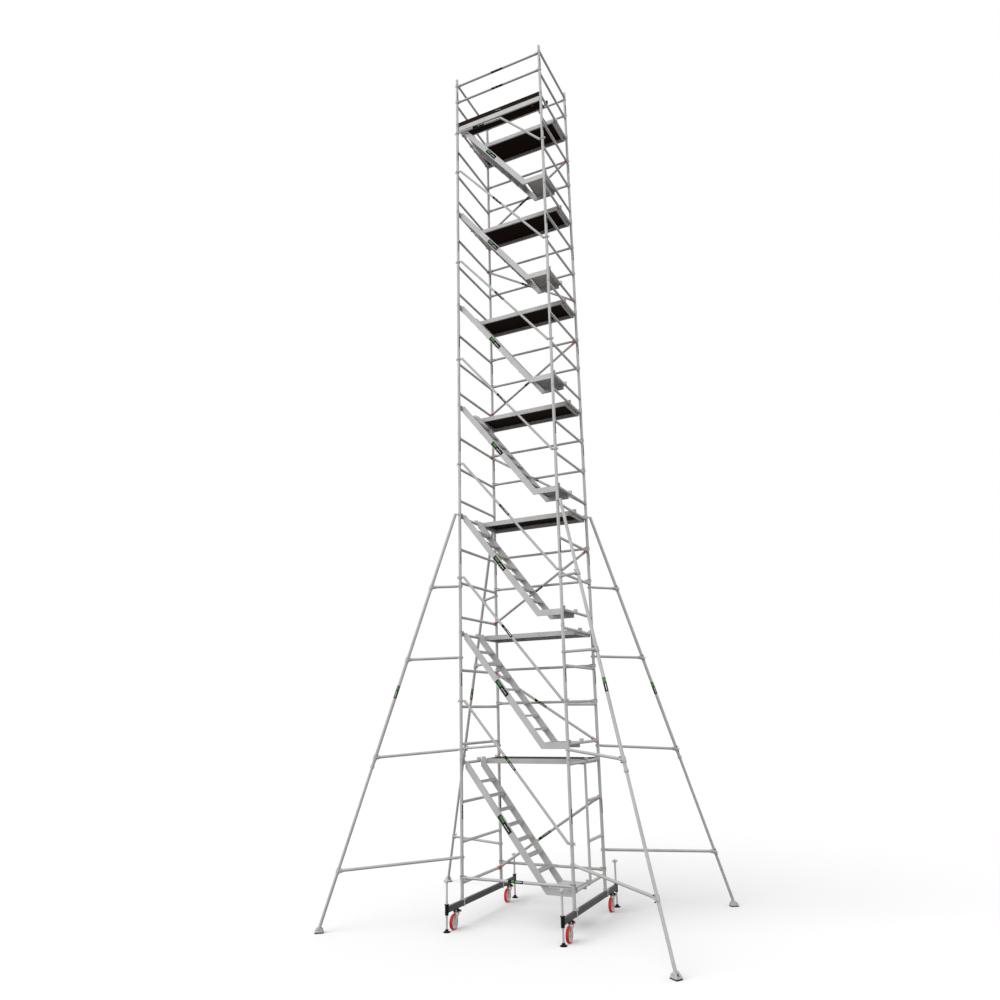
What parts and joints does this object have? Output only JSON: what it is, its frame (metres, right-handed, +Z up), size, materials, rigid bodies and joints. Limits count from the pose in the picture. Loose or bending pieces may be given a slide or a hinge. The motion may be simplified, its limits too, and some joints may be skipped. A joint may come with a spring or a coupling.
{
  "type": "mobile tower scaffold",
  "caption": "Tall mobile aluminium scaffold tower with zigzag stair flights, platforms, guardrails, wheeled base beams, levelling jacks and spread outriggers.",
  "frame": {"origin": "on the ground under the middle of the tower", "axes": "+X along the decks from the stair heads towards the stair landings, +Y across the tower towards the decks, +Z up"},
  "size_m": [5.3072, 3.838, 15.119],
  "materials": {
    "tube_aluminium": "satin extruded",
    "brace_aluminium": "satin drawn tube",
    "deck_aluminium": "satin",
    "stair_aluminium": "satin",
    "deck_plywood": "phenolic film faced, satin",
    "toe_board_plywood": "ribbed film faced",
    "beam_paint": "satin charcoal",
    "black_paint": "satin black",
    "zinc_steel": "zinc plated",
    "cast_aluminium": "as cast",
    "green_plastic": "moulded",
    "red_plastic": "moulded",
    "red_tyre": "cast polyurethane",
    "hub_nylon": "moulded",
    "foot_rubber": "moulded"
  },
  "bodies": {
    "root": {"base_beams": "beam_paint", "jack_sleeves": "black_paint", "beam_clamps": "zinc_steel", "caster_mounts": "black_paint", "frames_left": "tube_aluminium", "frames_right": "tube_aluminium", "portal_frame": "tube_aluminium", "guard_frames": "tube_aluminium", "horizontal_braces": "brace_aluminium", "brace_locks_green": "green_plastic", "diagonal_braces": "brace_aluminium", "brace_locks_red": "red_plastic", "handrails": "brace_aluminium", "deck_frames": "deck_aluminium", "deck_panels": "deck_plywood", "stair_1": "stair_aluminium", "stair_2": "stair_aluminium", "stair_3": "stair_aluminium", "stair_4": "stair_aluminium", "stair_5": "stair_aluminium", "stair_6": "stair_aluminium", "stair_7": "stair_aluminium", "narrow_deck": "deck_aluminium", "toe_board": "toe_board_plywood"},
    "caster_fl": {"caster_fork_fl": "zinc_steel"},
    "wheel_fl": {"wheel_hub_fl": "hub_nylon", "wheel_tyre_fl": "red_tyre"},
    "pedal_fl": {"brake_pedal_fl": "red_plastic"},
    "jack_foot_body_fl": {"jack_foot_fl": "foot_rubber"},
    "jack_screw_fl": {"jack_spindle_fl": "zinc_steel"},
    "outrigger_arm_fl": {"outrigger_fl": "brace_aluminium"},
    "outrigger_leg_fl": {"leg_lower_fl": "brace_aluminium"},
    "pad_fl": {"outrigger_pad_fl": "cast_aluminium"},
    "caster_fr": {"caster_fork_fr": "zinc_steel"},
    "wheel_fr": {"wheel_hub_fr": "hub_nylon", "wheel_tyre_fr": "red_tyre"},
    "pedal_fr": {"brake_pedal_fr": "red_plastic"},
    "jack_foot_body_fr": {"jack_foot_fr": "foot_rubber"},
    "jack_screw_fr": {"jack_spindle_fr": "zinc_steel"},
    "outrigger_arm_fr": {"outrigger_fr": "brace_aluminium"},
    "outrigger_leg_fr": {"leg_lower_fr": "brace_aluminium"},
    "pad_fr": {"outrigger_pad_fr": "cast_aluminium"},
    "caster_bl": {"caster_fork_bl": "zinc_steel"},
    "wheel_bl": {"wheel_hub_bl": "hub_nylon", "wheel_tyre_bl": "red_tyre"},
    "pedal_bl": {"brake_pedal_bl": "red_plastic"},
    "jack_foot_body_bl": {"jack_foot_bl": "foot_rubber"},
    "jack_screw_bl": {"jack_spindle_bl": "zinc_steel"},
    "outrigger_arm_bl": {"outrigger_bl": "brace_aluminium"},
    "outrigger_leg_bl": {"leg_lower_bl": "brace_aluminium"},
    "pad_bl": {"outrigger_pad_bl": "cast_aluminium"},
    "caster_br": {"caster_fork_br": "zinc_steel"},
    "wheel_br": {"wheel_hub_br": "hub_nylon", "wheel_tyre_br": "red_tyre"},
    "pedal_br": {"brake_pedal_br": "red_plastic"},
    "jack_foot_body_br": {"jack_foot_br": "foot_rubber"},
    "jack_screw_br": {"jack_spindle_br": "zinc_steel"},
    "outrigger_arm_br": {"outrigger_br": "brace_aluminium"},
    "outrigger_leg_br": {"leg_lower_br": "brace_aluminium"},
    "pad_br": {"outrigger_pad_br": "cast_aluminium"}
  },
  "joints": [
    {"name": "caster_swivel_fl", "type": "hinge", "parent": "root", "child": "caster_fl", "pos_m": [-0.855, -0.88, 0.2], "axis": [0, 0, 1], "continuous": true},
    {"name": "wheel_spin_fl", "type": "hinge", "parent": "caster_fl", "child": "wheel_fl", "pos_m": [-0.85151, -0.95992, 0.1], "axis": [0.999, 0.0436, 0], "continuous": true},
    {"name": "brake_pedal_fl", "type": "hinge", "parent": "caster_fl", "child": "pedal_fl", "pos_m": [-0.8564, -0.84803, 0.2], "axis": [-0.999, -0.0436, 0], "range_deg": [0, 18]},
    {"name": "jack_lift_fl", "type": "slide", "parent": "root", "child": "jack_foot_body_fl", "axis": [0, 0, 1], "range_m": [-0.25, 0.15]},
    {"name": "jack_turn_fl", "type": "hinge", "parent": "jack_foot_body_fl", "child": "jack_screw_fl", "pos_m": [-0.871, -1.125, 0.042], "axis": [0, 0, 1], "range_deg": [-11251, 6751]},
    {"name": "outrigger_swing_fl", "type": "hinge", "parent": "root", "child": "outrigger_arm_fl", "pos_m": [-0.885, -0.65, 0.9], "axis": [0, 0, 1], "range_deg": [-30, 45]},
    {"name": "leg_extend_fl", "type": "slide", "parent": "outrigger_arm_fl", "child": "outrigger_leg_fl", "axis": [-0.2508, -0.1767, -0.9518], "range_m": [-0.6, 0.15]},
    {"name": "pad_tilt_fl", "type": "hinge", "parent": "outrigger_leg_fl", "child": "pad_fl", "pos_m": [-2.56, -1.83, 0.06], "axis": [0.5759, -0.8175, 0], "range_deg": [-25, 25]},
    {"name": "caster_swivel_fr", "type": "hinge", "parent": "root", "child": "caster_fr", "pos_m": [0.915, -0.88, 0.2], "axis": [0, 0, 1], "continuous": true},
    {"name": "wheel_spin_fr", "type": "hinge", "parent": "caster_fr", "child": "wheel_fr", "pos_m": [0.91849, -0.95992, 0.1], "axis": [0.999, 0.0436, 0], "continuous": true},
    {"name": "brake_pedal_fr", "type": "hinge", "parent": "caster_fr", "child": "pedal_fr", "pos_m": [0.9136, -0.84803, 0.2], "axis": [-0.999, -0.0436, 0], "range_deg": [0, 18]},
    {"name": "jack_lift_fr", "type": "slide", "parent": "root", "child": "jack_foot_body_fr", "axis": [0, 0, 1], "range_m": [-0.25, 0.15]},
    {"name": "jack_turn_fr", "type": "hinge", "parent": "jack_foot_body_fr", "child": "jack_screw_fr", "pos_m": [0.899, -1.125, 0.042], "axis": [0, 0, 1], "range_deg": [-11251, 6751]},
    {"name": "outrigger_swing_fr", "type": "hinge", "parent": "root", "child": "outrigger_arm_fr", "pos_m": [0.885, -0.65, 0.9], "axis": [0, 0, -1], "range_deg": [-30, 45]},
    {"name": "leg_extend_fr", "type": "slide", "parent": "outrigger_arm_fr", "child": "outrigger_leg_fr", "axis": [0.2508, -0.1767, -0.9518], "range_m": [-0.6, 0.15]},
    {"name": "pad_tilt_fr", "type": "hinge", "parent": "outrigger_leg_fr", "child": "pad_fr", "pos_m": [2.56, -1.83, 0.06], "axis": [0.5759, 0.8175, 0], "range_deg": [-25, 25]},
    {"name": "caster_swivel_bl", "type": "hinge", "parent": "root", "child": "caster_bl", "pos_m": [-0.855, 0.88, 0.2], "axis": [0, 0, 1], "continuous": true},
    {"name": "wheel_spin_bl", "type": "hinge", "parent": "caster_bl", "child": "wheel_bl", "pos_m": [-0.85151, 0.80008, 0.1], "axis": [0.999, 0.0436, 0], "continuous": true},
    {"name": "brake_pedal_bl", "type": "hinge", "parent": "caster_bl", "child": "pedal_bl", "pos_m": [-0.8564, 0.91197, 0.2], "axis": [-0.999, -0.0436, 0], "range_deg": [0, 18]},
    {"name": "jack_lift_bl", "type": "slide", "parent": "root", "child": "jack_foot_body_bl", "axis": [0, 0, 1], "range_m": [-0.25, 0.15]},
    {"name": "jack_turn_bl", "type": "hinge", "parent": "jack_foot_body_bl", "child": "jack_screw_bl", "pos_m": [-0.871, 1.125, 0.042], "axis": [0, 0, 1], "range_deg": [-11251, 6751]},
    {"name": "outrigger_swing_bl", "type": "hinge", "parent": "root", "child": "outrigger_arm_bl", "pos_m": [-0.885, 0.65, 0.9], "axis": [0, 0, -1], "range_deg": [-30, 45]},
    {"name": "leg_extend_bl", "type": "slide", "parent": "outrigger_arm_bl", "child": "outrigger_leg_bl", "axis": [-0.2508, 0.1767, -0.9518], "range_m": [-0.6, 0.15]},
    {"name": "pad_tilt_bl", "type": "hinge", "parent": "outrigger_leg_bl", "child": "pad_bl", "pos_m": [-2.56, 1.83, 0.06], "axis": [-0.5759, -0.8175, 0], "range_deg": [-25, 25]},
    {"name": "caster_swivel_br", "type": "hinge", "parent": "root", "child": "caster_br", "pos_m": [0.915, 0.88, 0.2], "axis": [0, 0, 1], "continuous": true},
    {"name": "wheel_spin_br", "type": "hinge", "parent": "caster_br", "child": "wheel_br", "pos_m": [0.91849, 0.80008, 0.1], "axis": [0.999, 0.0436, 0], "continuous": true},
    {"name": "brake_pedal_br", "type": "hinge", "parent": "caster_br", "child": "pedal_br", "pos_m": [0.9136, 0.91197, 0.2], "axis": [-0.999, -0.0436, 0], "range_deg": [0, 18]},
    {"name": "jack_lift_br", "type": "slide", "parent": "root", "child": "jack_foot_body_br", "axis": [0, 0, 1], "range_m": [-0.25, 0.15]},
    {"name": "jack_turn_br", "type": "hinge", "parent": "jack_foot_body_br", "child": "jack_screw_br", "pos_m": [0.899, 1.125, 0.042], "axis": [0, 0, 1], "range_deg": [-11251, 6751]},
    {"name": "outrigger_swing_br", "type": "hinge", "parent": "root", "child": "outrigger_arm_br", "pos_m": [0.885, 0.65, 0.9], "axis": [0, 0, 1], "range_deg": [-30, 45]},
    {"name": "leg_extend_br", "type": "slide", "parent": "outrigger_arm_br", "child": "outrigger_leg_br", "axis": [0.2508, 0.1767, -0.9518], "range_m": [-0.6, 0.15]},
    {"name": "pad_tilt_br", "type": "hinge", "parent": "outrigger_leg_br", "child": "pad_br", "pos_m": [2.56, 1.83, 0.06], "axis": [-0.5759, 0.8175, 0], "range_deg": [-25, 25]}
  ],
  "couplings": [
    {"joint": "jack_turn_fl", "follows": "jack_lift_fl", "rad_per_m": 785.4},
    {"joint": "jack_turn_fr", "follows": "jack_lift_fr", "rad_per_m": 785.4},
    {"joint": "jack_turn_bl", "follows": "jack_lift_bl", "rad_per_m": 785.4},
    {"joint": "jack_turn_br", "follows": "jack_lift_br", "rad_per_m": 785.4}
  ]
}
